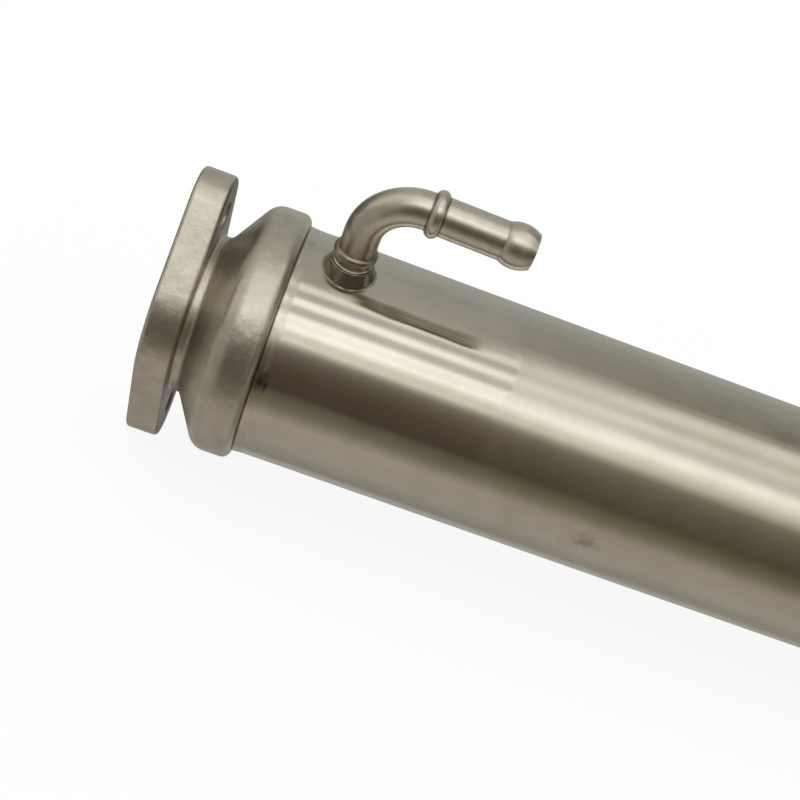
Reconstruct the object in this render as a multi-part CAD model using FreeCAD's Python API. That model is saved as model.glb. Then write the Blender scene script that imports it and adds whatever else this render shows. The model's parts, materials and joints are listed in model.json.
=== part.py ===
"""Shell-and-tube exhaust gas recirculation cooler, in millimetres.

Exhaust gas enters the cast inlet header, runs through a bundle of straight tubes between two tube
sheets and leaves by an equal header. Coolant enters and leaves the space round the tubes through
two bent hose pipes, and three cut-away baffles lead it to and fro across the bundle.

The origin is the centre of the inlet flange's face. +X runs along the tube away from that flange,
and +Z along the line through the flange's two bolt holes.
"""
import FreeCAD
import Part
import math
import os

# Overall
OVERALL_LENGTH = 330.0
SHELL_OUTER_DIAMETER = 63.5
SHELL_WALL = 1.5

# Two-bolt flange, cast in one with each header
BOLT_PITCH = 56.0
BOLT_THREAD_DIAMETER = 8.0
BOLT_HOLE_CHAMFER = 0.4
FLANGE_THICKNESS = 9.0
FLANGE_WAIST_RADIUS = 24.8
FLANGE_TIP_RADIUS = 11.0
FLANGE_EDGE_ROUND = 1.1

# Header behind the flange: neck, cone and bell
GAS_BORE_DIAMETER = 38.0
GAS_BORE_CHAMFER = 0.6
HEADER_WALL = 2.8
NECK_LENGTH = 2.9
NECK_ROUND = 0.9
CONE_ROOT_ROUND = 2.0
CONE_ANGLE_DEG = 57.5
SHOULDER_ROUND = 5.5
RIM_ROUND = 2.5
SEAT_WIDTH = 2.5
SEAT_LAND = 0.5
SHELL_ENGAGEMENT = 6.7
SOCKET_CLEARANCE = 0.05

# Weld between a header's rim and the shell
WELD_LENGTH = 3.0
WELD_HEIGHT = 0.5

# Tube bundle
TUBE_SHEET_THICKNESS = 3.0
TUBE_OUTER_DIAMETER = 8.0
TUBE_WALL = 0.8
TUBE_RINGS = 2
TUBE_STAND_OUT = 1.0
BUNDLE_MARGIN = 1.0
BRAZE_GAP = 0.05

# Baffles
BAFFLE_COUNT = 3
BAFFLE_THICKNESS = 1.5
BAFFLE_CLEARANCE = 0.15

# Coolant pipes and the collars that carry them
PORT_DISTANCE = 43.6
PORT_CLOCKING_DEG = 18.4
PIPE_OUTER_DIAMETER = 9.5
PIPE_WALL = 0.9
PIPE_INSET = 1.0
PIPE_RISER = 4.65
PIPE_BEND_RADIUS = 13.3
PIPE_SWING_DEG = 1.7
FOOT_BEAD_DIAMETER = 11.5
FOOT_BEAD_WIDTH = 2.6
FOOT_BEAD_STAND_OFF = 1.7
HOSE_RING_DIAMETER = 12.1
HOSE_RING_WIDTH = 3.5
HOSE_RING_OFFSET = 0.05
HOSE_LAND_DIAMETER = 9.9
HOSE_LAND_LENGTH = 15.55
END_BEAD_DIAMETER = 11.5
END_BEAD_WIDTH = 7.0
PIPE_TIP_LENGTH = 0.8
PIPE_TIP_CHAMFER = 0.4
COLLAR_HEIGHT = 3.25
COLLAR_WALL = 0.9
COLLAR_FLARE = 1.0
COLLAR_TOP_ROUND = 0.3
BRAZE_RING_WIDTH = 0.45
BRAZE_RING_THICKNESS = 0.25

# Sizes that follow
shell_radius = SHELL_OUTER_DIAMETER / 2
shell_inner_radius = shell_radius - SHELL_WALL
bore_radius = GAS_BORE_DIAMETER / 2
neck_radius = bore_radius + HEADER_WALL
socket_radius = shell_radius + SOCKET_CLEARANCE
bell_radius = socket_radius + HEADER_WALL
cavity_radius = socket_radius - SEAT_WIDTH
cone_slope = math.tan(math.radians(CONE_ANGLE_DEG))
neck_end = FLANGE_THICKNESS + NECK_LENGTH
cone_end = neck_end + (bell_radius - neck_radius) / cone_slope
inner_cone_start = neck_end + HEADER_WALL * math.tan(math.radians(CONE_ANGLE_DEG / 2))
inner_cone_end = inner_cone_start + (cavity_radius - bore_radius) / cone_slope
seat_x = inner_cone_end + SEAT_LAND
shell_start = seat_x + TUBE_SHEET_THICKNESS
rim_x = shell_start + SHELL_ENGAGEMENT
shell_length = OVERALL_LENGTH - 2 * shell_start

tube_radius = TUBE_OUTER_DIAMETER / 2
tube_hole_radius = tube_radius + BRAZE_GAP
bundle_radius = cavity_radius - (TUBE_STAND_OUT - SEAT_LAND) * cone_slope - BUNDLE_MARGIN
tube_pitch = (bundle_radius - tube_radius) / TUBE_RINGS
tube_row_spacing = tube_pitch * math.sin(math.radians(60))
tube_start = seat_x - TUBE_STAND_OUT
tube_length = OVERALL_LENGTH - 2 * tube_start

pipe_radius = PIPE_OUTER_DIAMETER / 2
port_radius = pipe_radius + BRAZE_GAP
collar_top = shell_radius + COLLAR_HEIGHT
pipe_foot = shell_inner_radius - PIPE_INSET
foot_bead_start = collar_top + FOOT_BEAD_STAND_OFF
foot_bead_end = foot_bead_start + FOOT_BEAD_WIDTH
bend_start = foot_bead_end + PIPE_RISER
pipe_height = bend_start + PIPE_BEND_RADIUS
hose_ring_start = PIPE_BEND_RADIUS + HOSE_RING_OFFSET
hose_ring_end = hose_ring_start + HOSE_RING_WIDTH
end_bead_start = hose_ring_end + HOSE_LAND_LENGTH
end_bead_end = end_bead_start + END_BEAD_WIDTH
pipe_end = end_bead_end + PIPE_TIP_LENGTH

X_AXIS = FreeCAD.Vector(1, 0, 0)
Y_AXIS = FreeCAD.Vector(0, 1, 0)
Z_AXIS = FreeCAD.Vector(0, 0, 1)
ORIGIN = FreeCAD.Vector(0, 0, 0)


def on_tube(along, radius):
    """A point of a profile that is turned about the tube's axis."""
    return FreeCAD.Vector(along, 0, radius)


def on_pipe_foot(height, radius):
    """A point of a profile that is turned about the pipe's upright foot."""
    return FreeCAD.Vector(radius, 0, height)


def on_hose_end(along, radius):
    """A point of a profile that is turned about the pipe's hose end."""
    return FreeCAD.Vector(along, 0, pipe_height + radius)


def turned(edges, axis, centre=ORIGIN):
    """The solid swept by a closed profile that turns once about an axis through a centre."""
    face = Part.Face(Part.Wire(edges))
    return face.revolve(centre, axis, 360)


def lines(points):
    """Straight edges from each point to the next."""
    return [Part.LineSegment(a, b).toShape() for a, b in zip(points, points[1:])]


def bend(before, corner, after, radius):
    """The rounded corner of two straight runs: its start, its arc and its end."""
    to_before = (before - corner).normalize()
    to_after = (after - corner).normalize()
    half_angle = to_before.getAngle(to_after) / 2
    reach = radius / math.tan(half_angle)
    start = corner + to_before * reach
    end = corner + to_after * reach
    bisector = (to_before + to_after).normalize()
    centre = corner + bisector * (radius / math.sin(half_angle))
    middle = centre - bisector * radius
    return start, Part.Arc(start, middle, end).toShape(), end


def flange_outline():
    """The waist circle and the two tip circles, joined by lines that touch both."""
    half_pitch = BOLT_PITCH / 2
    lean = math.asin((FLANGE_WAIST_RADIUS - FLANGE_TIP_RADIUS) / half_pitch)

    def touch(side, end, centre_z, radius):
        """The point where the line on one side meets a circle."""
        return FreeCAD.Vector(0, side * radius * math.cos(lean), centre_z + end * radius * math.sin(lean))

    edges = []
    for side in (1, -1):
        waist = FreeCAD.Vector(0, side * FLANGE_WAIST_RADIUS, 0)
        low = touch(side, -1, 0, FLANGE_WAIST_RADIUS)
        high = touch(side, 1, 0, FLANGE_WAIST_RADIUS)
        edges.append(Part.Arc(low, waist, high).toShape())
    for end in (1, -1):
        tip = FreeCAD.Vector(0, 0, end * (half_pitch + FLANGE_TIP_RADIUS))
        right = touch(1, end, end * half_pitch, FLANGE_TIP_RADIUS)
        left = touch(-1, end, end * half_pitch, FLANGE_TIP_RADIUS)
        edges.append(Part.Arc(right, tip, left).toShape())
        for side, tip_point in ((1, right), (-1, left)):
            waist_point = touch(side, end, 0, FLANGE_WAIST_RADIUS)
            edges.append(Part.LineSegment(waist_point, tip_point).toShape())
    return Part.Wire(Part.__sortEdges__(edges))


def make_flange():
    """The flange plate with rounded edges, still without its holes."""
    plate = Part.Face(flange_outline()).extrude(X_AXIS * FLANGE_THICKNESS)
    rims = [edge for edge in plate.Edges if edge.BoundBox.XLength < FLANGE_THICKNESS / 2]
    return plate.makeFillet(FLANGE_EDGE_ROUND, rims)


def make_header_body():
    """Neck, cone and bell as one turned body, solid inside, rooted in the flange."""
    inside_flange = FLANGE_THICKNESS / 2
    root = on_tube(FLANGE_THICKNESS, neck_radius)
    foot = on_tube(FLANGE_THICKNESS, neck_radius + NECK_ROUND)
    neck = on_tube(neck_end, neck_radius)
    shoulder = on_tube(cone_end, bell_radius)
    rim = on_tube(rim_x, bell_radius)
    rim_foot = on_tube(rim_x, 0)
    root_start, root_arc, root_end = bend(foot, root, neck, NECK_ROUND)
    neck_start, neck_arc, neck_stop = bend(root, neck, shoulder, CONE_ROOT_ROUND)
    shoulder_start, shoulder_arc, shoulder_stop = bend(neck, shoulder, rim, SHOULDER_ROUND)
    rim_start, rim_arc, rim_stop = bend(shoulder, rim, rim_foot, RIM_ROUND)
    edges = lines([rim_stop, rim_foot, on_tube(inside_flange, 0), on_tube(inside_flange, foot.z), root_start])
    edges += [root_arc]
    edges += lines([root_end, neck_start]) + [neck_arc]
    edges += lines([neck_stop, shoulder_start]) + [shoulder_arc]
    edges += lines([shoulder_stop, rim_start]) + [rim_arc]
    return turned(edges, X_AXIS)


def make_header_cavity():
    """The gas way: bore, inner cone, and the socket for the tube sheet and the shell."""
    return turned(lines([
        on_tube(0, 0),
        on_tube(0, bore_radius + GAS_BORE_CHAMFER),
        on_tube(GAS_BORE_CHAMFER, bore_radius),
        on_tube(inner_cone_start, bore_radius),
        on_tube(inner_cone_end, cavity_radius),
        on_tube(seat_x, cavity_radius),
        on_tube(seat_x, socket_radius),
        on_tube(rim_x, socket_radius),
        on_tube(rim_x, 0),
        on_tube(0, 0),
    ]), X_AXIS)


def make_bolt_hole():
    """One bolt hole, at its thread's outer diameter, with a chamfer at each mouth."""
    radius = BOLT_THREAD_DIAMETER / 2
    mouth = radius + BOLT_HOLE_CHAMFER
    return turned(lines([
        on_tube(0, 0),
        on_tube(0, mouth),
        on_tube(BOLT_HOLE_CHAMFER, radius),
        on_tube(FLANGE_THICKNESS - BOLT_HOLE_CHAMFER, radius),
        on_tube(FLANGE_THICKNESS, mouth),
        on_tube(FLANGE_THICKNESS, 0),
        on_tube(0, 0),
    ]), X_AXIS)


def make_header():
    """One casting: flange, neck, cone and bell with the gas way and the bolt holes cut out."""
    casting = make_flange().fuse(make_header_body())
    casting = casting.cut(make_header_cavity())
    for end in (1, -1):
        hole = make_bolt_hole()
        hole.translate(Z_AXIS * end * BOLT_PITCH / 2)
        casting = casting.cut(hole)
    return casting.removeSplitter()


def tube_centres():
    """Tube places in the Y-Z plane: a centre tube with hexagonal rings round it."""
    centres = []
    for row in range(-TUBE_RINGS, TUBE_RINGS + 1):
        in_row = 2 * TUBE_RINGS + 1 - abs(row)
        for place in range(in_row):
            across = (place - (in_row - 1) / 2) * tube_pitch
            centres.append((across, row * tube_row_spacing))
    return centres


def drilled(plate, hole_radius, centres):
    """A plate square to the tube's axis, with a hole for each tube."""
    thickness = plate.BoundBox.XLength
    front = plate.BoundBox.XMin
    for across, up in centres:
        start = FreeCAD.Vector(front - thickness, across, up)
        plate = plate.cut(Part.makeCylinder(hole_radius, 3 * thickness, start, X_AXIS))
    return plate


def make_tube_sheet():
    """The drilled disc between a header's seat and the shell's end."""
    disc = Part.makeCylinder(shell_radius, TUBE_SHEET_THICKNESS, on_tube(seat_x, 0), X_AXIS)
    return drilled(disc, tube_hole_radius, tube_centres())


def make_gas_tube(across, up):
    """One straight gas tube, standing a little out of both tube sheets."""
    start = FreeCAD.Vector(tube_start, across, up)
    outside = Part.makeCylinder(tube_radius, tube_length, start, X_AXIS)
    return outside.cut(Part.makeCylinder(tube_radius - TUBE_WALL, tube_length, start, X_AXIS))


def make_baffle(number):
    """A disc with one side cut away between two tube rows, turned over for every second one."""
    radius = shell_inner_radius - BAFFLE_CLEARANCE
    side = 1 if number % 2 else -1
    middle = shell_start + shell_length * number / (BAFFLE_COUNT + 1)
    start = on_tube(middle - BAFFLE_THICKNESS / 2, 0)
    disc = Part.makeCylinder(radius, BAFFLE_THICKNESS, start, X_AXIS)
    cut_height = (TUBE_RINGS - 0.5) * tube_row_spacing
    window = Part.makeBox(BAFFLE_THICKNESS, 2 * radius, radius)
    window.translate(FreeCAD.Vector(start.x, -radius, cut_height if side > 0 else -cut_height - radius))
    kept = [(across, up) for across, up in tube_centres() if side * up < cut_height]
    return drilled(disc.cut(window), tube_radius + BAFFLE_CLEARANCE, kept)


def clocked(shape, along):
    """Moves a shape built on the upright Z axis to a coolant port at a place along the tube."""
    shape.rotate(ORIGIN, X_AXIS, PORT_CLOCKING_DEG)
    shape.translate(X_AXIS * along)
    return shape


def port_places():
    """The two coolant ports, each as far from its own flange's face."""
    return PORT_DISTANCE, OVERALL_LENGTH - PORT_DISTANCE


def make_shell():
    """The outer tube with a round hole for each coolant pipe."""
    start = on_tube(shell_start, 0)
    shell = Part.makeCylinder(shell_radius, shell_length, start, X_AXIS)
    shell = shell.cut(Part.makeCylinder(shell_inner_radius, shell_length, start, X_AXIS))
    for along in port_places():
        shell = shell.cut(clocked(Part.makeCylinder(port_radius, collar_top), along))
    return shell


def make_collar():
    """The brazed collar: a flared socket on a thin ring of braze, saddled to the shell."""
    top_radius = port_radius + COLLAR_WALL
    foot_radius = top_radius + COLLAR_FLARE
    ring_radius = foot_radius + BRAZE_RING_WIDTH
    low = shell_radius - COLLAR_HEIGHT
    low_radius = foot_radius + COLLAR_FLARE
    socket = turned(lines([
        on_pipe_foot(low, 0),
        on_pipe_foot(low, low_radius),
        on_pipe_foot(collar_top, top_radius),
        on_pipe_foot(collar_top, 0),
        on_pipe_foot(low, 0),
    ]), Z_AXIS)
    top = [edge for edge in socket.Edges if edge.BoundBox.ZMin > collar_top - COLLAR_TOP_ROUND]
    socket = socket.makeFillet(COLLAR_TOP_ROUND, top)
    saddle_start = X_AXIS * (-2 * ring_radius)
    saddle_length = 4 * ring_radius
    crown_radius = shell_radius + BRAZE_RING_THICKNESS
    ring = Part.makeCylinder(ring_radius, collar_top)
    ring = ring.common(Part.makeCylinder(crown_radius, saddle_length, saddle_start, X_AXIS))
    body = socket.fuse(ring)
    body = body.cut(Part.makeCylinder(port_radius, collar_top))
    return body.cut(Part.makeCylinder(shell_radius, saddle_length, saddle_start, X_AXIS)).removeSplitter()


def rolled_bead(start, end, crest_radius, start_radius, end_radius, point):
    """The round side of a bead between two places along a pipe."""
    crest = point((start + end) / 2, crest_radius)
    return Part.Arc(point(start, start_radius), crest, point(end, end_radius)).toShape()


def pipe_run(inset, tip_chamfer):
    """The pipe's foot, elbow and hose end as one solid, with every radius less by the inset."""
    radius = pipe_radius - inset
    land_radius = HOSE_LAND_DIAMETER / 2 - inset
    foot_crest = FOOT_BEAD_DIAMETER / 2 - inset
    ring_crest = HOSE_RING_DIAMETER / 2 - inset
    end_crest = END_BEAD_DIAMETER / 2 - inset

    foot_side = lines([
        on_pipe_foot(foot_bead_end, radius),
        on_pipe_foot(bend_start, radius),
        on_pipe_foot(bend_start, 0),
        on_pipe_foot(pipe_foot, 0),
        on_pipe_foot(pipe_foot, radius),
        on_pipe_foot(foot_bead_start, radius),
    ])
    foot_side.append(rolled_bead(foot_bead_start, foot_bead_end, foot_crest, radius, radius, on_pipe_foot))
    foot = turned(foot_side, Z_AXIS)

    section = Part.Face(Part.Wire(Part.makeCircle(radius, Z_AXIS * bend_start, Z_AXIS)))
    elbow = section.revolve(FreeCAD.Vector(PIPE_BEND_RADIUS, 0, bend_start), Y_AXIS, 90)

    hose_side = lines([
        on_hose_end(end_bead_end, land_radius),
        on_hose_end(pipe_end, land_radius - tip_chamfer),
        on_hose_end(pipe_end, 0),
        on_hose_end(PIPE_BEND_RADIUS, 0),
        on_hose_end(PIPE_BEND_RADIUS, radius),
        on_hose_end(hose_ring_start, radius),
    ])
    hose_side.append(rolled_bead(hose_ring_start, hose_ring_end, ring_crest, radius, land_radius, on_hose_end))
    hose_side += lines([on_hose_end(hose_ring_end, land_radius), on_hose_end(end_bead_start, land_radius)])
    hose_side.append(rolled_bead(end_bead_start, end_bead_end, end_crest, land_radius, land_radius, on_hose_end))
    hose = turned(hose_side, X_AXIS, on_hose_end(0, 0))
    return foot.fuse([elbow, hose]).removeSplitter()


def make_pipe():
    """The bent coolant pipe. Its beads are rolled from the wall, so the bore follows them."""
    return pipe_run(0, PIPE_TIP_CHAMFER).cut(pipe_run(PIPE_WALL, 0))


def make_weld():
    """The fillet run between a header's rim and the shell."""
    return turned(lines([
        on_tube(rim_x, shell_radius),
        on_tube(rim_x, shell_radius + WELD_HEIGHT),
        on_tube(rim_x + WELD_LENGTH, shell_radius),
        on_tube(rim_x, shell_radius),
    ]), X_AXIS)


def at_outlet(shape):
    """Turns a piece of the inlet end half round, so that it serves at the outlet end."""
    shape.rotate(FreeCAD.Vector(OVERALL_LENGTH / 2, 0, 0), Z_AXIS, 180)
    return shape


def build_pieces():
    """Every piece of the cooler by its name."""
    inlet_port, outlet_port = port_places()
    inlet_pipe = make_pipe()
    inlet_pipe.rotate(ORIGIN, Z_AXIS, -PIPE_SWING_DEG)
    outlet_pipe = make_pipe()
    outlet_pipe.rotate(ORIGIN, Z_AXIS, 180 - PIPE_SWING_DEG)
    pieces = {
        "inlet_header": make_header(),
        "outlet_header": at_outlet(make_header()),
        "shell": make_shell(),
        "inlet_shell_weld": make_weld(),
        "outlet_shell_weld": at_outlet(make_weld()),
        "inlet_tube_sheet": make_tube_sheet(),
        "outlet_tube_sheet": at_outlet(make_tube_sheet()),
        "coolant_inlet_collar": clocked(make_collar(), inlet_port),
        "coolant_outlet_collar": clocked(make_collar(), outlet_port),
        "coolant_inlet_pipe": clocked(inlet_pipe, inlet_port),
        "coolant_outlet_pipe": clocked(outlet_pipe, outlet_port),
    }
    for number, (across, up) in enumerate(tube_centres(), start=1):
        pieces["gas_tube_%02d" % number] = make_gas_tube(across, up)
    for number in range(1, BAFFLE_COUNT + 1):
        pieces["baffle_%d" % number] = make_baffle(number)
    return pieces


def export_pieces():
    """Writes one STEP file for each piece."""
    os.makedirs("parts", exist_ok=True)
    for name, shape in build_pieces().items():
        shape.exportStep(os.path.join("parts", name + ".step"))


export_pieces()
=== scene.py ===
"""Looks for the exhaust gas cooler: its metals, weld beads, threads and brazes, the lit room that
the metal mirrors, the floor and the camera.

Everything is in metres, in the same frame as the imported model: the origin is the centre of the
inlet flange's face, +X runs along the tube and +Z along the line through the bolt holes.
"""
import json
import math

import bmesh
import bpy
from mathutils import Matrix, Vector, noise as random_field


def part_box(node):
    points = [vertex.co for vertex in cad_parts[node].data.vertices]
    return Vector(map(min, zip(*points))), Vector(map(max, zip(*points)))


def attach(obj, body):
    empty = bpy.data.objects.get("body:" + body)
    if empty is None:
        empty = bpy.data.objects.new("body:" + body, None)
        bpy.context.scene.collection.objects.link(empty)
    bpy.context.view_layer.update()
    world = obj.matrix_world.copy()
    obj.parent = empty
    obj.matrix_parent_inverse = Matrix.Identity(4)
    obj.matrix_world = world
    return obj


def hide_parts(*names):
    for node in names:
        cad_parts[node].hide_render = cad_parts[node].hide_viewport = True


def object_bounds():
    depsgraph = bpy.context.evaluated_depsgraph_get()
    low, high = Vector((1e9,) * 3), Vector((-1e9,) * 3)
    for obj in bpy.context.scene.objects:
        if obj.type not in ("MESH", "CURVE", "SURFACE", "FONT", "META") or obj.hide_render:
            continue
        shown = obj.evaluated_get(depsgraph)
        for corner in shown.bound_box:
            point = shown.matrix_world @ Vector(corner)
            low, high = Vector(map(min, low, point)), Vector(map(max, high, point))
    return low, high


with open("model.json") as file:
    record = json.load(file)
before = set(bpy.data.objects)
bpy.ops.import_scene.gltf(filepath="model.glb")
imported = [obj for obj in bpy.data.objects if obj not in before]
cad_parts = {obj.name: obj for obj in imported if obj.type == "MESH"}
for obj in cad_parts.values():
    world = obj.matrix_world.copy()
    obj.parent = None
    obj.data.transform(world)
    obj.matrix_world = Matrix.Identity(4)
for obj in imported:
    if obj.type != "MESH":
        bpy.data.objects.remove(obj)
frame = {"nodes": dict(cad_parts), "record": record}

CAD_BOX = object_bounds()

# Camera, fitted to the photograph
CAMERA_PLACE = Vector((0.04106, -0.29524, 0.13822))
CAMERA_RIGHT = Vector((0.938212, 0.074987, 0.337836))
CAMERA_UP = Vector((-0.335609, 0.435246, 0.835415))
CAMERA_BACK = Vector((-0.084398, -0.897179, 0.433520))
CAMERA_LENS_MM = 53.907
CAMERA_SENSOR_MM = 36.0
CAMERA_CLIP_START = 0.01

# Sizes carried over from the solids
PART_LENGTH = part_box("outlet_header")[1].x
HALF_LENGTH = PART_LENGTH / 2
RIM_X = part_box("inlet_header")[1].x
SHELL_RADIUS = 0.03175
FLANGE_DEPTH = 0.0090
BOLT_OFFSET = 0.0280
PORT_DISTANCE = 0.0436
PORT_LEAN = math.radians(18.4)
PIPE_SWING = math.radians(1.7)
PIPE_RADIUS = 0.00475
COLLAR_TOP = SHELL_RADIUS + 0.00325
COLLAR_FOOT_RADIUS = 0.00670
TUBE_COUNT = 19

# Weld beads: each point of the section is a share of the reach along the tube and of the rise
WELD_REACH = 0.0030
WELD_RISE = 0.0002
WELD_SIDE = [
    (-0.02, 0.0), (-0.01, 1.0), (0.08, 0.96), (0.2, 0.90), (0.35, 0.84),
    (0.48, 0.74), (0.60, 0.55), (0.74, 0.28), (0.88, 0.08), (1.0, -0.04),
]
WELD_STEPS = 360

# Threads: the ridge's half widths are shares of the pitch, and it runs out over half a turn
THREAD_PITCH = 0.00125
THREAD_START = 0.0007
THREAD_CREST = 0.00338
THREAD_ROOT = 0.00403
THREAD_FOOT_SHARE = 0.46
THREAD_CREST_SHARE = 0.09
THREAD_RUN_OUT = 0.5
THREAD_LEAST_HEIGHT = 0.02
THREAD_STEPS = 64

# Brazes: each is sunk a little into what carries it
FOOT_SPREAD = 0.0006
FOOT_LIFT = 0.0003
FOOT_SINK = 0.00004
FOOT_SECTION_STEPS = 8
FILLET_SINK = 0.00003
LIP_FILLET = 0.00045
LIP_SECTION_STEPS = 6
TUBE_FILLET = 0.00045
TUBE_SECTION_STEPS = 4
COLLAR_STEPS = 128
TUBE_STEPS = 40

# How uneven the beads and brazes are: waves, each with its share of the size and its fineness
TOE_WAVES = ((0.07, 5.0), (0.03, 19.0))
CROWN_WAVES = ((0.12, 9.0),)
FOOT_WAVES = ((0.25, 4.0),)
TUBE_WAVES = ((0.3, 2.0),)

# Where in the random field each ring is read, for the inlet's end and the outlet's
WELD_SEEDS = (0.0, 0.3)
FOOT_SEEDS = (0.7, 1.7)
TUBE_SEEDS = (0.0, 7.0)
TUBE_SEED_STEP = 0.9

# Floor: its glow is how much of its white is its own to the camera, so its shadow stays faint
FLOOR_REACH = 4.0
FLOOR_GAP = 0.0002
FLOOR_COLOUR = (0.97, 0.97, 0.97)
FLOOR_GLOW = 0.9
WHITE = (1, 1, 1)

# The ranges that a noise texture's grey mostly keeps to, and that a blotch's tones are read from
NOISE_SPAN = (0.3, 0.7)
TONE_SPAN = (0.35, 0.65)

# Each metal's base colour and roughness, which its tones vary
BASE_LOOKS = {
    "cast_stainless": ((0.68, 0.64, 0.57), 0.28),
    "polished_stainless": ((0.72, 0.69, 0.62), 0.13),
    "satin_stainless": ((0.72, 0.68, 0.60), 0.2),
    "turned_stainless": ((0.36, 0.34, 0.28), 0.2),
    "weld_metal": ((0.68, 0.65, 0.58), 0.18),
    "plain_stainless": ((0.62, 0.60, 0.56), 0.28),
}

# Tones of the castings, with painted shade on the back of the flange, darkest at its ends
CAST_FINE_TONES = ((0.65, 0.61, 0.54), (0.73, 0.69, 0.62))
CAST_WIDE_TONES = ((0.60, 0.59, 0.50), (0.79, 0.72, 0.65))
CAST_WIDE_SPAN = (0.38, 0.62)
CAST_WIDE_SHARE = 0.6
CAST_ROUGHNESS = (0.28, 0.38)
FLANGE_BACK_SHADE_TONES = ((0.32, 0.29, 0.24), (0.44, 0.41, 0.35))
SHADED_BACK_DEPTH = (0.0001, 0.0006)
FLANGE_END_SHADE_TONES = ((0.13, 0.11, 0.09), (0.20, 0.18, 0.15))
SHADED_END_HEIGHT = (0.0240, 0.0330)
FACED_TONES = ((0.62, 0.60, 0.55), (0.78, 0.76, 0.71))
FACED_ROUGHNESS = (0.16, 0.26)
FACED_DEPTH = (0.0003, 0.0001)

# Tones of the weld, with a painted shade line at the header's rim
WELD_TONES = ((0.62, 0.58, 0.51), (0.74, 0.71, 0.64))
WELD_ROUGHNESS = (0.15, 0.21)
RIM_SHADE_TONES = ((0.15, 0.11, 0.08), (0.22, 0.17, 0.13))
RIM_SHADE_LINE = 0.0003

# Tones of the shell: its polish turns softer at an edge, past which a patch is rubbed
SHELL_TONES = ((0.76, 0.73, 0.66), (0.67, 0.64, 0.57))
SHELL_ROUGHNESS = (0.12, 0.145)
SHELL_ANISOTROPY = 0.95
SHELL_GRAIN_TURN = 0.25
SOFT_EDGE = (0.0897, 0.0913)
SOFT_EXTRA_ROUGHNESS = 0.06
RUBBED_TONES = ((0.86, 0.80, 0.73), (0.91, 0.87, 0.80))
RUBBED_EXTRA_ROUGHNESS = (0.13, 0.20)
PATCH_END = (0.1150, 0.1330)
PATCH_LOW_SIDE = (0.50, 0.62)
PATCH_HIGH_SIDE = (1.02, 1.12)
EDGE_WAVER = 0.002
SCUFF_SPAN = (0.3, 0.75)
RUB_SPAN = (0.38, 0.62)

# Streaks on the shell: how fine they are along it and round it, and their detail
WAVE_STREAKS = (14.0, 20.0, 3.0)
POLISH_STREAKS = (2600.0, 3.5, 4.0)
EDGE_STREAKS = (60.0, 4.0, 3.0)
RUB_STREAKS = (900.0, 2.0, 4.0)

# Small dark marks on shell and weld: place along and round, half length, half width and depth
MARK_COLOUR = (0.14, 0.10, 0.07)
MARK_FADE = (0.4, 1.2)
MARK_RAGGEDNESS = 0.35
SHELL_MARKS = [
    (0.0320, 0.09, 0.0020, 0.0034, 0.9),
    (0.1247, -0.358, 0.0048, 0.0018, 0.22),
    (0.1237, -0.300, 0.0028, 0.0030, 0.22),
    (0.1636, 1.155, 0.0046, 0.0032, 0.15),
]

# Tones of the pipes: browned by heat near the foot, with painted shade and dirt in the creases beside
# the beads.
# Heights are from the tube's axis, and the hose end's places are from the port, each with a depth
PIPE_TONES = ((0.74, 0.70, 0.63), (0.82, 0.78, 0.71))
PIPE_ROUGHNESS = (0.277, 0.285)
HEATED_TONES = ((0.36, 0.31, 0.26), (0.46, 0.40, 0.34))
HEATED_HEIGHT = (0.0378, 0.0535)
HEATED_WAVER = 0.0006
CREASE_SHADE_AND_GRIME_TONES = ((0.32, 0.28, 0.22), (0.44, 0.39, 0.33))
CREASE_LINE = 0.0002
FOOT_CREASES = ((0.0367, 1.0), (0.0393, 1.0))
HOSE_CREASES = ((0.01335, 1.0), (0.01685, 1.0), (0.0324, 0.35))

# Turned and plain metal: the darker tone is a share of the base colour, the roughness goes round
# the base roughness
PLAIN_DARKER = 0.84
PLAIN_SMOOTHEST, PLAIN_ROUGHEST = -0.05, 0.06

# The room round the tube, by the angle from straight ahead (-Y) over the top (+90) to the back
STUDIO = [
    (-180, (0.38, 0.38, 0.36)),
    (-150, (0.32, 0.31, 0.29)),
    (-126, (0.42, 0.41, 0.40)),
    (-111, (0.28, 0.27, 0.25)),
    (-85, (0.38, 0.35, 0.31)),
    (-52, (0.40, 0.36, 0.32)),
    (-37, (0.20, 0.18, 0.13)),
    (-24, (0.125, 0.11, 0.085)),
    (-19, (0.075, 0.055, 0.045)),
    (0, (0.085, 0.065, 0.045)),
    (12, (0.12, 0.095, 0.075)),
    (20, (0.20, 0.18, 0.15)),
    (24, (0.36, 0.34, 0.29)),
    (28.5, (0.86, 0.84, 0.75)),
    (35, (0.83, 0.80, 0.70)),
    (38, (1.10, 1.08, 1.02)),
    (41, (1.36, 1.34, 1.30)),
    (45, (1.20, 1.18, 1.15)),
    (51, (1.34, 1.32, 1.29)),
    (56, (0.60, 0.59, 0.53)),
    (61, (0.62, 0.61, 0.55)),
    (64, (1.20, 1.19, 1.15)),
    (68, (1.28, 1.27, 1.22)),
    (72, (0.56, 0.55, 0.52)),
    (77, (0.52, 0.49, 0.46)),
    (80, (0.95, 0.93, 0.84)),
    (84, (0.95, 0.93, 0.84)),
    (89, (0.44, 0.42, 0.38)),
    (140, (0.35, 0.34, 0.31)),
    (158, (0.40, 0.40, 0.37)),
    (180, (0.38, 0.38, 0.36)),
]

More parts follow.
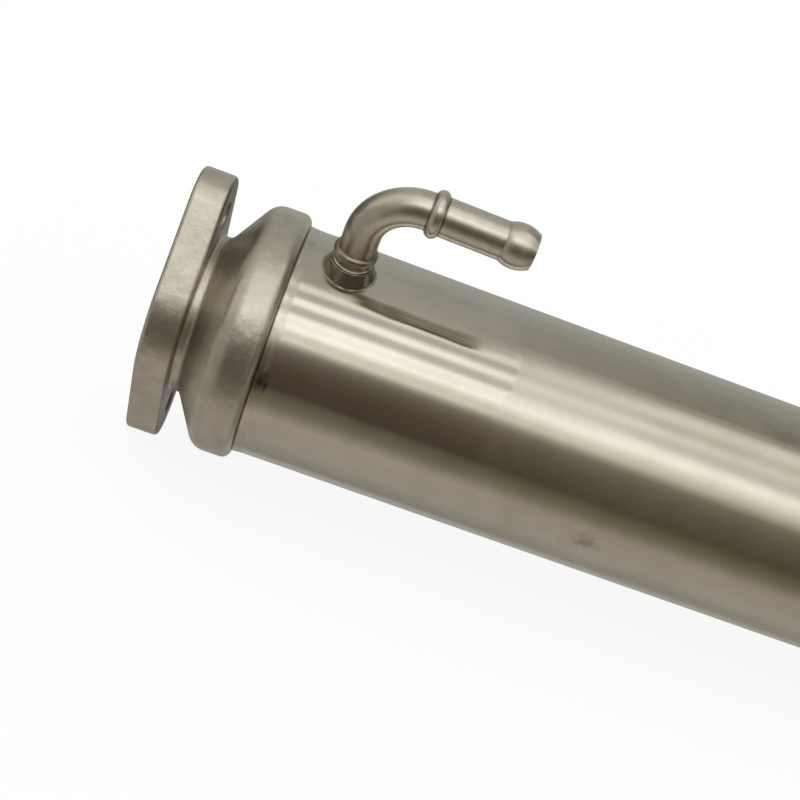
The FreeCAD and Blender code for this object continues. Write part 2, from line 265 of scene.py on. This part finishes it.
# The same room further along the tube, where its lights run together
STUDIO_FAR = [
    (-180, (0.40, 0.40, 0.37)),
    (-126, (0.42, 0.41, 0.39)),
    (-111, (0.30, 0.28, 0.25)),
    (-85, (0.40, 0.37, 0.33)),
    (-50, (0.38, 0.34, 0.29)),
    (-37, (0.20, 0.18, 0.12)),
    (-20, (0.095, 0.085, 0.050)),
    (0, (0.145, 0.125, 0.080)),
    (18, (0.22, 0.19, 0.14)),
    (28, (0.62, 0.60, 0.48)),
    (38, (1.02, 0.99, 0.88)),
    (46, (1.28, 1.24, 1.15)),
    (54, (0.74, 0.71, 0.63)),
    (68, (0.80, 0.76, 0.68)),
    (78, (0.68, 0.64, 0.55)),
    (92, (0.96, 0.92, 0.84)),
    (97, (0.50, 0.47, 0.40)),
    (104, (0.22, 0.21, 0.17)),
    (125, (0.26, 0.25, 0.21)),
    (150, (0.34, 0.34, 0.30)),
    (180, (0.40, 0.40, 0.37)),
]

# The room beyond the inlet end, where only a patch at the back is dark
STUDIO_SIDE = [
    (-180, (0.08, 0.07, 0.06)),
    (-165, (0.10, 0.09, 0.07)),
    (-145, (0.30, 0.28, 0.24)),
    (-100, (0.36, 0.34, 0.30)),
    (-40, (0.30, 0.28, 0.24)),
    (0, (0.26, 0.24, 0.20)),
    (30, (0.38, 0.36, 0.31)),
    (65, (0.58, 0.56, 0.50)),
    (90, (0.56, 0.54, 0.48)),
    (120, (0.38, 0.36, 0.32)),
    (150, (0.16, 0.15, 0.12)),
    (172, (0.08, 0.07, 0.06)),
]

# How far a direction points along the tube where each of those takes over, and where light fades
FAR_SPAN = (0.15, 0.24)
SIDE_SPAN = (-0.30, -0.60)
FADE_SPAN = (0.45, 0.80)
FADED = 0.55


def plug(tree, value, socket):
    """Links a socket to another one, or sets it to a number or a colour."""
    if isinstance(value, bpy.types.NodeSocket):
        tree.links.new(value, socket)
    elif isinstance(value, tuple):
        socket.default_value = (*value, 1)
    else:
        socket.default_value = value


def new_node(tree, kind, **values):
    """A shader node with inputs plugged by name, where an underscore stands for a space."""
    node = tree.nodes.new(kind)
    for name, value in values.items():
        plug(tree, value, node.inputs[name.replace("_", " ")])
    return node


def math_node(tree, operation, first, second=None):
    """The result of a sum on one or two sockets or numbers."""
    node = tree.nodes.new("ShaderNodeMath")
    node.operation = operation
    plug(tree, first, node.inputs[0])
    if second is not None:
        plug(tree, second, node.inputs[1])
    return node.outputs[0]


def mixed(tree, share, first, second, kind="RGBA"):
    """Two colours mixed by a share, or two numbers where the kind is FLOAT."""
    mix = tree.nodes.new("ShaderNodeMix")
    mix.data_type = kind
    plug(tree, share, mix.inputs["Factor"])
    plug(tree, first, mix.inputs["A"])
    plug(tree, second, mix.inputs["B"])
    return mix.outputs["Result"]


def graded(tree, value, low, high, to_low=0.0, to_high=1.0):
    """A value moved from one range into another and held there."""
    ends = {"From_Min": low, "From_Max": high, "To_Min": to_low, "To_Max": to_high}
    return new_node(tree, "ShaderNodeMapRange", Value=value, **ends).outputs[0]


def noise(tree, place, scale, detail=3.0, roughness=0.55):
    """The grey value of a noise texture."""
    looks = {"Scale": scale, "Detail": detail, "Roughness": roughness}
    return new_node(tree, "ShaderNodeTexNoise", Vector=place, **looks).outputs["Fac"]


def bumped(tree, height, strength, distance, below=None):
    """A bump from a height, laid over another bump where one is given."""
    bump = new_node(tree, "ShaderNodeBump", Height=height, Strength=strength, Distance=distance)
    if below is not None:
        plug(tree, below, bump.inputs["Normal"])
    return bump.outputs[0]


def split_up(tree, place):
    """The sockets of a place's X, Y and Z."""
    return new_node(tree, "ShaderNodeSeparateXYZ", Vector=place).outputs[:]


def joined(tree, first, second=None):
    """A vector with one or two values as its X and Y."""
    node = new_node(tree, "ShaderNodeCombineXYZ", X=first)
    if second is not None:
        plug(tree, second, node.inputs["Y"])
    return node.outputs[0]


def length_of(tree, vector):
    """The length of a vector."""
    node = tree.nodes.new("ShaderNodeVectorMath")
    node.operation = "LENGTH"
    plug(tree, vector, node.inputs[0])
    return node.outputs["Value"]


def distance_from(tree, value, middle):
    """How far a value is from a middle one."""
    return math_node(tree, "ABSOLUTE", math_node(tree, "SUBTRACT", value, middle))


def close_to(tree, value, middle, reach):
    """1 where a value is within a reach of a middle one, and 0 past twice that."""
    return graded(tree, distance_from(tree, value, middle), reach, 2 * reach, 1.0, 0.0)


def object_place(tree):
    """The socket with the place on the part, in metres."""
    return tree.nodes.new("ShaderNodeTexCoord").outputs["Object"]


def round_the_tube(tree, place):
    """Sockets for the run along the tube and the turn round it in radians."""
    along, back, up = split_up(tree, place)
    ahead = math_node(tree, "MULTIPLY", back, -1.0)
    return along, math_node(tree, "ARCTAN2", up, ahead)


def either_shader(tree, share, first, second):
    """Two shaders mixed by a share."""
    mix = tree.nodes.new("ShaderNodeMixShader")
    for index, value in enumerate((share, first, second)):
        plug(tree, value, mix.inputs[index])
    return mix.outputs[0]


def make_camera():
    """The camera at the photograph's place, with its roll."""
    data = bpy.data.cameras.new("camera")
    data.lens = CAMERA_LENS_MM
    data.sensor_width = CAMERA_SENSOR_MM
    data.clip_start = CAMERA_CLIP_START
    camera = bpy.data.objects.new("camera", data)
    bpy.context.scene.collection.objects.link(camera)
    turn = Matrix((CAMERA_RIGHT, CAMERA_UP, CAMERA_BACK)).transposed().to_4x4()
    camera.matrix_world = Matrix.Translation(CAMERA_PLACE) @ turn
    bpy.context.scene.camera = camera


def studio_ramp(tree, turn, lights):
    """The colours of a room's lights, read by a turn that goes from 0 at the back to 1."""
    ramp = tree.nodes.new("ShaderNodeValToRGB")
    tree.links.new(turn, ramp.inputs[0])
    stops = ramp.color_ramp.elements
    while len(stops) > 1:
        stops.remove(stops[0])
    for index, (degrees, colour) in enumerate(lights):
        where = degrees / 360 + 0.5
        stop = stops[0] if index == 0 else stops.new(where)
        stop.position = where
        stop.color = (*colour, 1)
    return ramp.outputs["Color"]


def make_world():
    """White all round, and to the metal's mirror rays a room with long soft lights along the tube."""
    world = bpy.data.worlds.new("studio")
    bpy.context.scene.world = world
    world.use_nodes = True
    tree = world.node_tree
    tree.nodes.clear()
    direction = tree.nodes.new("ShaderNodeTexCoord").outputs["Generated"]
    along, angle = round_the_tube(tree, direction)
    turn = math_node(tree, "ADD", math_node(tree, "DIVIDE", angle, 2 * math.pi), 0.5)
    near = studio_ramp(tree, turn, STUDIO)
    far = studio_ramp(tree, turn, STUDIO_FAR)
    side = studio_ramp(tree, turn, STUDIO_SIDE)
    colour = mixed(tree, graded(tree, along, *FAR_SPAN), near, far)
    colour = mixed(tree, graded(tree, along, *SIDE_SPAN), colour, side)
    strength = graded(tree, along, *FADE_SPAN, 1.0, FADED)
    room = new_node(tree, "ShaderNodeBackground", Color=colour, Strength=strength)
    white = new_node(tree, "ShaderNodeBackground", Color=WHITE)
    rays = tree.nodes.new("ShaderNodeLightPath").outputs
    seen = either_shader(tree, rays["Is Glossy Ray"], white.outputs[0], room.outputs[0])
    new_node(tree, "ShaderNodeOutputWorld", Surface=seen)


def new_material(name, anisotropy=0.0):
    """A new metal with its node tree and the inputs of its Principled shader."""
    colour, roughness = BASE_LOOKS[name]
    material = bpy.data.materials.new(name)
    material.use_nodes = True
    tree = material.node_tree
    shader = tree.nodes["Principled BSDF"].inputs
    shader["Metallic"].default_value = 1.0
    shader["Base Color"].default_value = (*colour, 1)
    shader["Roughness"].default_value = roughness
    shader["Anisotropic"].default_value = anisotropy
    return material, tree, shader


def with_marks(tree, along, turn, ragged_by, colour):
    """A colour with the small dark marks laid over it."""
    ragged = graded(tree, ragged_by, *NOISE_SPAN, -MARK_RAGGEDNESS, MARK_RAGGEDNESS)
    for mark_along, mark_turn, length, width, depth in SHELL_MARKS:
        aside = math_node(tree, "SUBTRACT", along, mark_along)
        off_turn = math_node(tree, "SUBTRACT", turn, mark_turn)
        around = math_node(tree, "MULTIPLY", off_turn, SHELL_RADIUS)
        aside_share = math_node(tree, "DIVIDE", aside, length)
        around_share = math_node(tree, "DIVIDE", around, width)
        reach = length_of(tree, joined(tree, aside_share, around_share))
        edge = math_node(tree, "ADD", reach, ragged)
        colour = mixed(tree, graded(tree, edge, *MARK_FADE, depth, 0.0), colour, MARK_COLOUR)
    return colour


def cast_metal():
    """A blasted casting: fine grain, blotches and lumps, painted shade on the flange back, and
    machined faces.
    """
    material, tree, shader = new_material("cast_stainless")
    place = object_place(tree)
    x, y, z = split_up(tree, place)
    fine = graded(tree, noise(tree, place, scale=260.0), *TONE_SPAN)
    mottling = noise(tree, place, scale=140.0, detail=4.0, roughness=0.6)
    wide = graded(tree, mottling, *CAST_WIDE_SPAN)
    fine_tone = mixed(tree, fine, *CAST_FINE_TONES)
    skin = mixed(tree, CAST_WIDE_SHARE, fine_tone, mixed(tree, wide, *CAST_WIDE_TONES))

    # Painted shade: the back face of the flange is darkened, darkest towards its two ends
    off_middle = distance_from(tree, x, HALF_LENGTH)
    off_back = distance_from(tree, off_middle, HALF_LENGTH - FLANGE_DEPTH)
    at_shaded_end = graded(tree, math_node(tree, "ABSOLUTE", z), *SHADED_END_HEIGHT)
    end_shade = mixed(tree, wide, *FLANGE_END_SHADE_TONES)
    back = mixed(tree, at_shaded_end, mixed(tree, wide, *FLANGE_BACK_SHADE_TONES), end_shade)
    cast = mixed(tree, graded(tree, off_back, *SHADED_BACK_DEPTH, 1.0, 0.0), skin, back)

    faced_from, faced_to = (HALF_LENGTH - depth for depth in FACED_DEPTH)
    faced = graded(tree, off_middle, faced_from, faced_to)
    rings = joined(tree, length_of(tree, joined(tree, y, z)))
    lines = noise(tree, rings, scale=2000.0, detail=2.0)
    faced_tone = mixed(tree, graded(tree, lines, *NOISE_SPAN), *FACED_TONES)
    plug(tree, mixed(tree, faced, cast, faced_tone), shader["Base Color"])

    grain = noise(tree, place, scale=2600.0, detail=2.0)
    cast_rough = graded(tree, grain, *NOISE_SPAN, *CAST_ROUGHNESS)
    faced_rough = graded(tree, lines, *NOISE_SPAN, *FACED_ROUGHNESS)
    plug(tree, mixed(tree, faced, cast_rough, faced_rough, "FLOAT"), shader["Roughness"])
    unfaced = math_node(tree, "SUBTRACT", 1.0, faced)
    lumps = math_node(tree, "MULTIPLY", noise(tree, place, scale=330.0), unfaced)
    lumpy = bumped(tree, lumps, strength=0.5, distance=0.00025)
    texture = mixed(tree, faced, grain, lines, "FLOAT")
    uneven = bumped(tree, texture, strength=0.2, distance=0.00002, below=lumpy)
    plug(tree, uneven, shader["Normal"])
    return material


def weld_metal():
    """Fused metal, matte, in blotches, with a painted shade line at the rim and one darker place."""
    material, tree, shader = new_material("weld_metal")
    place = object_place(tree)
    along, turn = round_the_tube(tree, place)
    blotch = noise(tree, place, scale=300.0, detail=4.0)
    tone = graded(tree, blotch, *TONE_SPAN)
    off_middle = distance_from(tree, along, HALF_LENGTH)
    # Painted shade: a dark line along the weld where it meets the header's rim
    on_rim_shade_line = close_to(tree, off_middle, HALF_LENGTH - RIM_X, RIM_SHADE_LINE)
    colour = mixed(tree, on_rim_shade_line, mixed(tree, tone, *WELD_TONES), mixed(tree, tone, *RIM_SHADE_TONES))
    plug(tree, with_marks(tree, along, turn, blotch, colour), shader["Base Color"])
    grain = noise(tree, place, scale=2400.0, detail=2.0)
    plug(tree, graded(tree, grain, *NOISE_SPAN, *WELD_ROUGHNESS), shader["Roughness"])
    plug(tree, bumped(tree, grain, strength=0.05, distance=0.00002), shader["Normal"])
    return material


def polished_metal():
    """The tube: polished round and round, softer past an edge, and rubbed in a patch there."""
    material, tree, shader = new_material("polished_stainless", SHELL_ANISOTROPY)
    place = object_place(tree)
    along, turn = round_the_tube(tree, place)

    def streaks(along_scale, turn_scale, detail):
        """A noise that is drawn out along the tube or round it."""
        run = math_node(tree, "MULTIPLY", along, along_scale)
        sweep = math_node(tree, "MULTIPLY", turn, turn_scale)
        return noise(tree, joined(tree, run, sweep), scale=1.0, detail=detail, roughness=0.6)

    waver = graded(tree, streaks(*EDGE_STREAKS), *NOISE_SPAN, -EDGE_WAVER, EDGE_WAVER)
    edge = math_node(tree, "ADD", along, waver)
    softer = graded(tree, edge, *SOFT_EDGE)
    before_end = graded(tree, edge, *PATCH_END, 1.0, 0.0)
    above = graded(tree, turn, *PATCH_LOW_SIDE)
    below = graded(tree, turn, *PATCH_HIGH_SIDE, 1.0, 0.0)
    patch = softer
    for limit in (before_end, above, below):
        patch = math_node(tree, "MULTIPLY", patch, limit)

    rub = streaks(*RUB_STREAKS)
    scuffs = noise(tree, place, scale=90.0, detail=4.0, roughness=0.6)
    clean = graded(tree, scuffs, *SCUFF_SPAN)
    rubbed = mixed(tree, graded(tree, rub, *RUB_SPAN), *RUBBED_TONES)
    colour = mixed(tree, patch, mixed(tree, clean, *SHELL_TONES), rubbed)
    ragged_by = noise(tree, place, scale=450.0, detail=1.0)
    plug(tree, with_marks(tree, along, turn, ragged_by, colour), shader["Base Color"])

    polish = streaks(*POLISH_STREAKS)
    rough = graded(tree, polish, *NOISE_SPAN, *SHELL_ROUGHNESS)
    rough = math_node(tree, "ADD", rough, math_node(tree, "MULTIPLY", softer, SOFT_EXTRA_ROUGHNESS))
    rubbed_rough = graded(tree, rub, *TONE_SPAN, *RUBBED_EXTRA_ROUGHNESS)
    rough = math_node(tree, "ADD", rough, math_node(tree, "MULTIPLY", patch, rubbed_rough))
    plug(tree, rough, shader["Roughness"])
    waves = bumped(tree, streaks(*WAVE_STREAKS), strength=0.2, distance=0.00004)
    uneven = bumped(tree, polish, strength=0.1, distance=0.00001, below=waves)
    plug(tree, uneven, shader["Normal"])
    grain = tree.nodes.new("ShaderNodeTangent")
    grain.direction_type = "RADIAL"
    grain.axis = "X"
    plug(tree, grain.outputs[0], shader["Tangent"])
    shader["Anisotropic Rotation"].default_value = SHELL_GRAIN_TURN
    return material


def satin_metal():
    """Drawn and bent pipe: satin, browned near its foot, with painted shade and dirt in the creases
    beside its beads.
    """
    material, tree, shader = new_material("satin_stainless")
    place = object_place(tree)
    x, y, z = split_up(tree, place)
    blotch = noise(tree, place, scale=420.0)
    tone = graded(tree, blotch, *TONE_SPAN)

    upright = math_node(tree, "MULTIPLY", z, math.cos(PORT_LEAN))
    leaning = math_node(tree, "MULTIPLY", y, math.sin(PORT_LEAN))
    height = math_node(tree, "SUBTRACT", upright, leaning)
    waver = graded(tree, blotch, *NOISE_SPAN, -HEATED_WAVER, HEATED_WAVER)
    heat = graded(tree, math_node(tree, "ADD", height, waver), *HEATED_HEIGHT, 1.0, 0.0)

    off_middle = math_node(tree, "SUBTRACT", x, HALF_LENGTH)
    from_middle = math_node(tree, "ABSOLUTE", off_middle)
    off_port = math_node(tree, "SUBTRACT", HALF_LENGTH - PORT_DISTANCE, from_middle)
    sideways = math_node(tree, "MULTIPLY", y, math.cos(PORT_LEAN) * math.sin(PIPE_SWING))
    upward = math_node(tree, "MULTIPLY", z, math.sin(PORT_LEAN) * math.sin(PIPE_SWING))
    swung = math_node(tree, "ADD", sideways, upward)
    swung = math_node(tree, "MULTIPLY", swung, math_node(tree, "SIGN", off_middle))
    straight = math_node(tree, "MULTIPLY", off_port, math.cos(PIPE_SWING))
    hose = math_node(tree, "ADD", straight, swung)

    # Painted shade, partly dirt: dark lines in the creases beside the beads
    crease_shade_and_grime = 0.0
    for run, creases in ((height, FOOT_CREASES), (hose, HOSE_CREASES)):
        for middle, depth in creases:
            line = math_node(tree, "MULTIPLY", close_to(tree, run, middle, CREASE_LINE), depth)
            crease_shade_and_grime = math_node(tree, "MAXIMUM", crease_shade_and_grime, line)
    colour = mixed(tree, heat, mixed(tree, tone, *PIPE_TONES), mixed(tree, tone, *HEATED_TONES))
    colour = mixed(tree, crease_shade_and_grime, colour, mixed(tree, tone, *CREASE_SHADE_AND_GRIME_TONES))
    plug(tree, colour, shader["Base Color"])

    grain = noise(tree, place, scale=3200.0, detail=2.0)
    plug(tree, graded(tree, grain, *NOISE_SPAN, *PIPE_ROUGHNESS), shader["Roughness"])
    dents = noise(tree, place, scale=250.0, detail=2.0)
    soft = bumped(tree, dents, strength=0.2, distance=0.0001)
    uneven = bumped(tree, grain, strength=0.06, distance=0.00001, below=soft)
    plug(tree, uneven, shader["Normal"])
    return material


def plain_metal(name):
    """Drawn or turned metal with a fine grain."""
    colour, roughness = BASE_LOOKS[name]
    material, tree, shader = new_material(name)
    place = object_place(tree)
    tone = graded(tree, noise(tree, place, scale=500.0), *TONE_SPAN)
    darker = tuple(PLAIN_DARKER * part for part in colour)
    plug(tree, mixed(tree, tone, darker, colour), shader["Base Color"])
    grain = noise(tree, place, scale=3000.0, detail=2.0)
    ends = (roughness + PLAIN_SMOOTHEST, roughness + PLAIN_ROUGHEST)
    plug(tree, graded(tree, grain, *NOISE_SPAN, *ends), shader["Roughness"])
    plug(tree, bumped(tree, grain, strength=0.2, distance=0.00003), shader["Normal"])
    return material


def finished(mesh_builder, name, look, *replaced):
    """Turns a built mesh into a smooth piece that rides on the part, in one of its finishes."""
    bmesh.ops.recalc_face_normals(mesh_builder, faces=mesh_builder.faces)
    mesh = bpy.data.meshes.new(name)
    mesh_builder.to_mesh(mesh)
    mesh_builder.free()
    for face in mesh.polygons:
        face.use_smooth = True
    mesh.materials.append(LOOKS[look])
    piece = bpy.data.objects.new(name, mesh)
    bpy.context.scene.collection.objects.link(piece)
    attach(piece, "root")
    if replaced:
        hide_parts(*replaced)
    return piece


def add_skin(builder, rows, closed=True):
    """Adds quads between rows of points, and between the last row and the first where closed."""
    grid = [[builder.verts.new(point) for point in row] for row in rows]
    row_pairs = list(zip(grid, grid[1:]))
    if closed:
        row_pairs.append((grid[-1], grid[0]))
    for row, following in row_pairs:
        for index in range(len(row) - 1):
            onward = index + 1
            builder.faces.new((row[index], row[onward], following[onward], following[index]))


def skinned(rows, closed=True):
    """A bmesh with one skin of quads."""
    builder = bmesh.new()
    add_skin(builder, rows, closed)
    return builder


def turns(steps):
    """The turns of a ring's points, in radians."""
    return [2 * math.pi * step / steps for step in range(steps)]


def wavy(size, turn, seed, waves):
    """A size that swells and shrinks round a ring."""
    around = Vector((math.cos(turn), math.sin(turn), seed))
    swellings = (share * random_field.noise(around * fineness) for share, fineness in waves)
    return size * sum(swellings, 1.0)


def fillet_section(reach, steps):
    """The points of a hollow quarter round, as the run out from the corner and the rise."""
    for step in range(steps + 1):
        angle = math.pi / 2 * step / steps
        yield reach * (1.0 - math.sin(angle)), reach * (1.0 - math.cos(angle))


def at_end(point, outlet):
    """A point of the inlet end, or the same one turned half round to the outlet end."""
    return Vector((PART_LENGTH - point.x, -point.y, point.z)) if outlet else point


def make_weld_bead(name, replaced, outlet):
    """The bead that joins a header's rim to the shell, with an uneven toe."""
    rows = []
    for turn in turns(WELD_STEPS):
        toe = wavy(WELD_REACH, turn, WELD_SEEDS[outlet], TOE_WAVES)
        crown = wavy(WELD_RISE, turn, WELD_SEEDS[outlet], CROWN_WAVES)
        row = []
        for along, up in WELD_SIDE:
            radius = SHELL_RADIUS + up * crown
            x = RIM_X + along * toe
            row.append(at_end(Vector((x, -radius * math.cos(turn), radius * math.sin(turn))), outlet))
        rows.append(row)
    return finished(skinned(rows), name, "weld_metal", replaced)


def make_thread(name, outlet, side):
    """The M8 thread of one bolt hole, as a helical ridge that stands in from the hole's wall."""
    steps = int((FLANGE_DEPTH - 2 * THREAD_START) / THREAD_PITCH * THREAD_STEPS)
    rows = []
    for step in range(steps + 1):
        turn = 2 * math.pi * step / THREAD_STEPS
        turns_to_end = min(step, steps - step) / THREAD_STEPS
        height = max(min(1.0, turns_to_end / THREAD_RUN_OUT), THREAD_LEAST_HEIGHT)
        crest = THREAD_ROOT - (THREAD_ROOT - THREAD_CREST) * height
        middle = THREAD_START + THREAD_PITCH * step / THREAD_STEPS
        row = []
        for share, radius in (
            (-THREAD_FOOT_SHARE, THREAD_ROOT),
            (-THREAD_CREST_SHARE, crest),
            (THREAD_CREST_SHARE, crest),
            (THREAD_FOOT_SHARE, THREAD_ROOT),
        ):
            x = middle + share * THREAD_PITCH
            z = side * BOLT_OFFSET + radius * math.sin(turn)
            row.append(at_end(Vector((x, radius * math.cos(turn), z)), outlet))
        rows.append(row)
    piece = finished(skinned(rows, closed=False), name, "cast_stainless")
    for face in piece.data.polygons:
        face.use_smooth = False
    return piece


def on_port(x, y, z, outlet):
    """A point given about a coolant port's upright axis, set on the leaning port."""
    along = PART_LENGTH - PORT_DISTANCE if outlet else PORT_DISTANCE
    back = y * math.cos(PORT_LEAN) - z * math.sin(PORT_LEAN)
    up = y * math.sin(PORT_LEAN) + z * math.cos(PORT_LEAN)
    return Vector((along + x, back, up))


def make_foot_braze(name, outlet):
    """The thin bright ring of braze where a collar meets the shell."""
    rows = []
    for turn in turns(COLLAR_STEPS):
        spread = wavy(FOOT_SPREAD, turn, FOOT_SEEDS[outlet], FOOT_WAVES)
        row = []
        for step in range(FOOT_SECTION_STEPS + 1):
            angle = math.pi * step / FOOT_SECTION_STEPS
            radius = COLLAR_FOOT_RADIUS + spread * (1.0 - math.cos(angle)) / 2
            x = radius * math.cos(turn)
            y = radius * math.sin(turn)
            lift = FOOT_LIFT * math.sin(angle) - FOOT_SINK
            row.append(on_port(x, y, math.sqrt(SHELL_RADIUS ** 2 - y ** 2) + lift, outlet))
        rows.append(row)
    return finished(skinned(rows), name, "weld_metal")


def make_lip_braze(name, outlet):
    """The small fillet of braze between a collar's lip and its pipe."""
    rows = []
    for turn in turns(COLLAR_STEPS):
        row = []
        for out, up in fillet_section(LIP_FILLET, LIP_SECTION_STEPS):
            radius = PIPE_RADIUS + out
            z = COLLAR_TOP - FILLET_SINK + up
            row.append(on_port(radius * math.cos(turn), radius * math.sin(turn), z, outlet))
        rows.append(row)
    return finished(skinned(rows), name, "weld_metal")


def make_tube_brazes(name, outlet):
    """The small fillets of braze that seal the gas tubes in a tube sheet."""
    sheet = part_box(("outlet" if outlet else "inlet") + "_tube_sheet")
    face = sheet[1].x if outlet else sheet[0].x
    outward = 1 if outlet else -1
    builder = bmesh.new()
    for number in range(1, TUBE_COUNT + 1):
        low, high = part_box("gas_tube_%02d" % number)
        centre_y = (low.y + high.y) / 2
        centre_z = (low.z + high.z) / 2
        tube_radius = (high.y - low.y) / 2
        seed = TUBE_SEED_STEP * number + TUBE_SEEDS[outlet]
        rows = []
        for turn in turns(TUBE_STEPS):
            reach = wavy(TUBE_FILLET, turn, seed, TUBE_WAVES)
            row = []
            for out, up in fillet_section(reach, TUBE_SECTION_STEPS):
                radius = tube_radius + out - FILLET_SINK
                x = face + outward * (up - FILLET_SINK)
                y = centre_y + radius * math.cos(turn)
                row.append((x, y, centre_z + radius * math.sin(turn)))
            rows.append(row)
        add_skin(builder, rows)
    return finished(builder, name, "weld_metal")


def make_floor():
    """A pale floor just under the part, which takes only a faint shadow."""
    low = CAD_BOX[0][2] - FLOOR_GAP
    sides = ((-1, -1), (1, -1), (1, 1), (-1, 1))
    corners = [(FLOOR_REACH * x, FLOOR_REACH * y, low) for x, y in sides]
    mesh = bpy.data.meshes.new("floor")
    mesh.from_pydata(corners, [], [(0, 1, 2, 3)])
    floor = bpy.data.objects.new("floor", mesh)
    bpy.context.scene.collection.objects.link(floor)
    material = bpy.data.materials.new("pale_floor")
    material.use_nodes = True
    tree = material.node_tree
    tree.nodes.clear()
    pale = new_node(tree, "ShaderNodeBsdfDiffuse", Color=FLOOR_COLOUR)
    glow = new_node(tree, "ShaderNodeEmission", Color=WHITE)
    rays = tree.nodes.new("ShaderNodeLightPath").outputs
    share = math_node(tree, "MULTIPLY", rays["Is Camera Ray"], FLOOR_GLOW)
    seen = either_shader(tree, share, pale.outputs[0], glow.outputs[0])
    new_node(tree, "ShaderNodeOutputMaterial", Surface=seen)
    mesh.materials.append(material)
    floor.visible_glossy = False


make_camera()
bpy.context.scene.view_settings.view_transform = "Standard"
make_world()
make_floor()

LOOKS = {
    "cast_stainless": cast_metal(),
    "polished_stainless": polished_metal(),
    "satin_stainless": satin_metal(),
    "turned_stainless": plain_metal("turned_stainless"),
    "weld_metal": weld_metal(),
    "plain_stainless": plain_metal("plain_stainless"),
}
SLOT_OF = {part["node"]: part["material_slot"] for part in frame["record"]["subparts"]}
for node_name, piece in frame["nodes"].items():
    piece.data.materials[0] = LOOKS[SLOT_OF[node_name]]

make_weld_bead("inlet_weld_bead", "inlet_shell_weld", False)
make_weld_bead("outlet_weld_bead", "outlet_shell_weld", True)
for outlet, end_name in ((False, "inlet"), (True, "outlet")):
    make_thread(end_name + "_upper_thread", outlet, 1)
    make_thread(end_name + "_lower_thread", outlet, -1)
    make_foot_braze(end_name + "_collar_foot_braze", outlet)
    make_lip_braze(end_name + "_collar_lip_braze", outlet)
    make_tube_brazes(end_name + "_tube_brazes", outlet)
